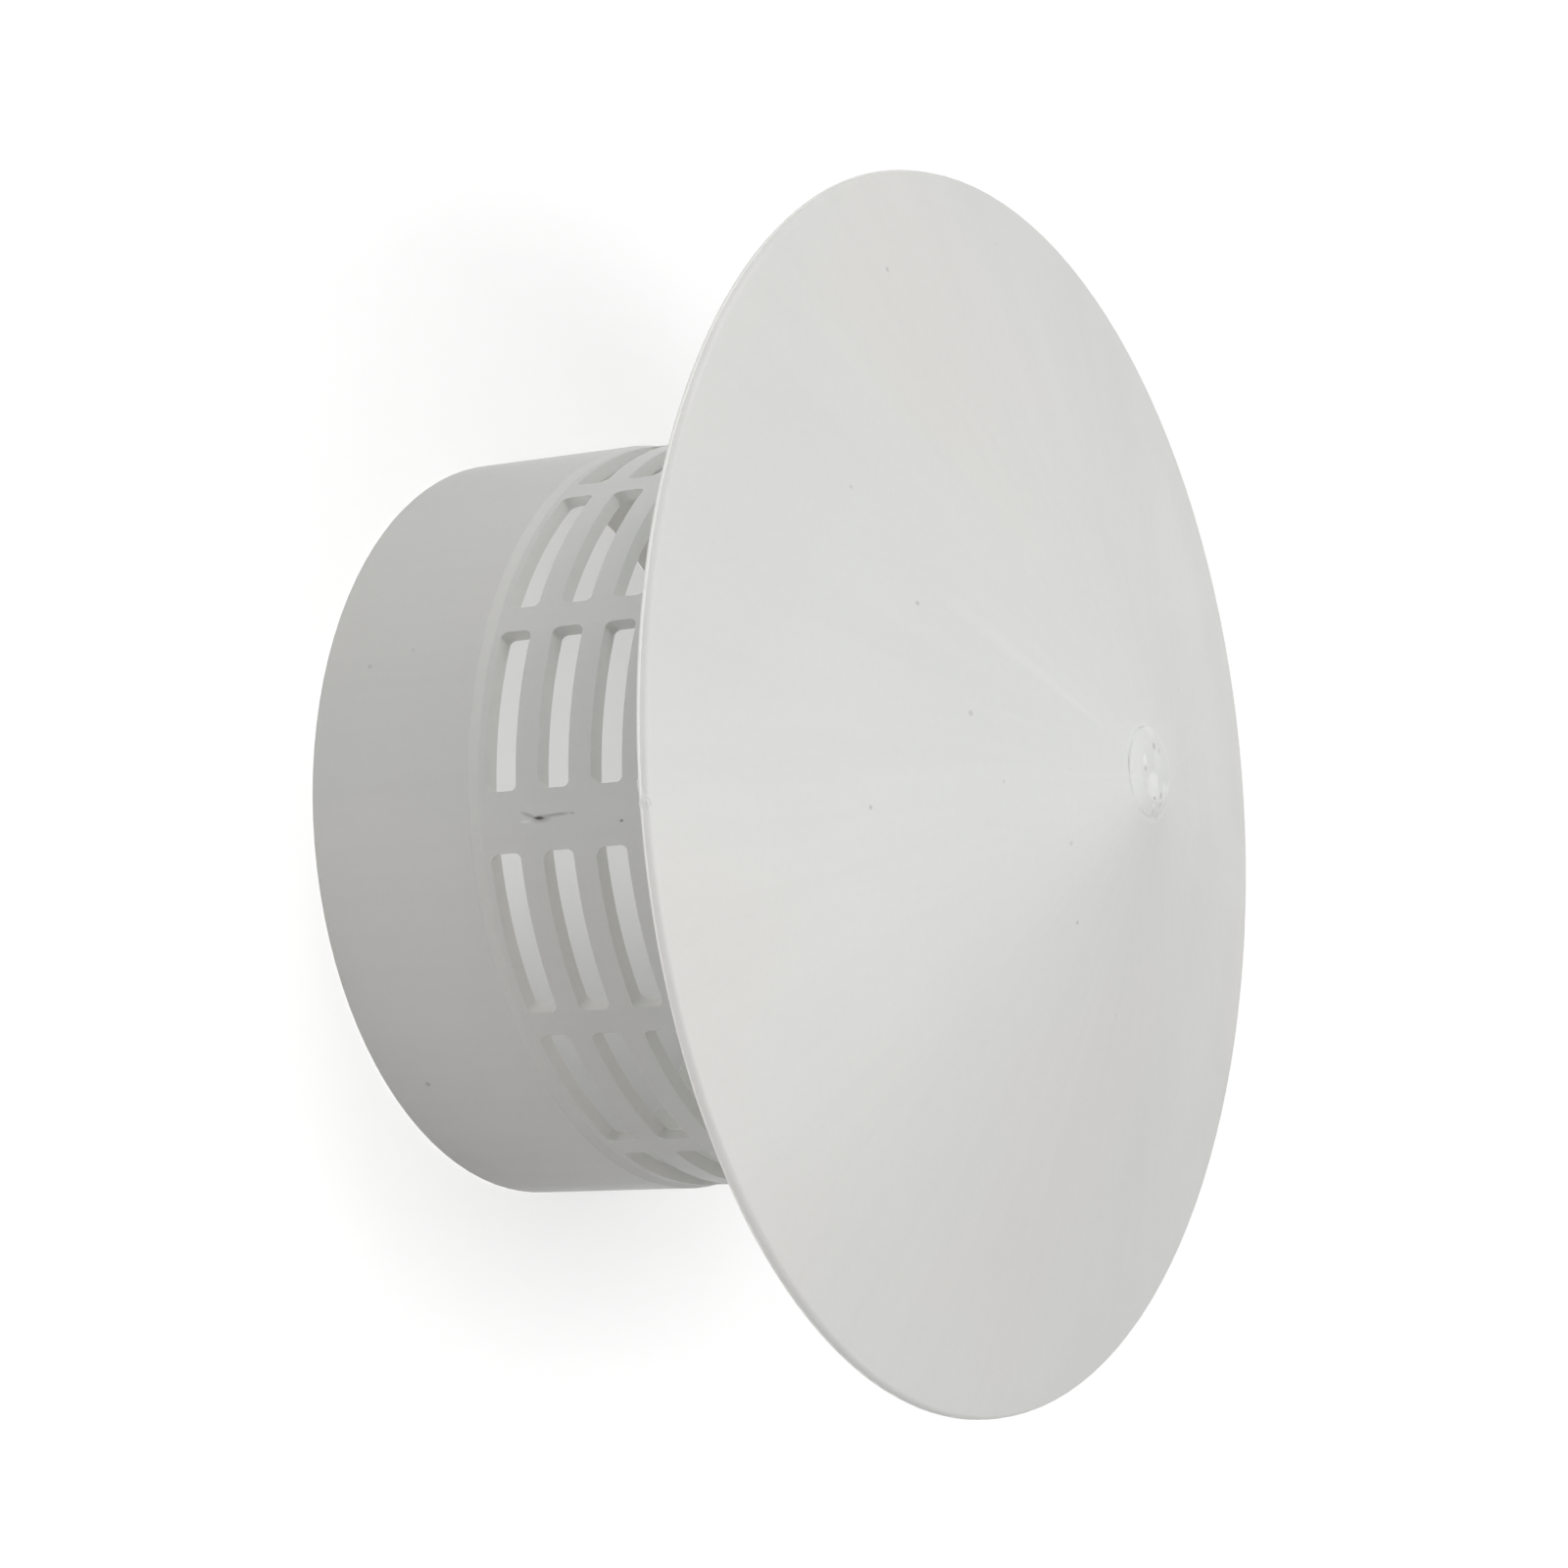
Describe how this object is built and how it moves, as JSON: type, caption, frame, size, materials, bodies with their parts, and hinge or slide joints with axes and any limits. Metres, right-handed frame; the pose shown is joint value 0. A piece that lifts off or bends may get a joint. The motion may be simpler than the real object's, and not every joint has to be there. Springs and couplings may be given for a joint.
{
  "type": "ventilation cap",
  "caption": "Round vent pipe cap with a plain socket collar, a cage of level slots and a shallow conical rain hat.",
  "frame": {"origin": "centre of the collar's open end", "axes": "+Z along the axis towards the tip of the hat; -Y, +X, +Y and -X through the middles of the four broad uprights"},
  "size_m": [0.183, 0.183, 0.1081],
  "materials": {
    "pvc": "pale grey PVC straight from the mould, faintly satin"
  },
  "bodies": {
    "root": {"cap": "pvc"}
  },
  "joints": []
}
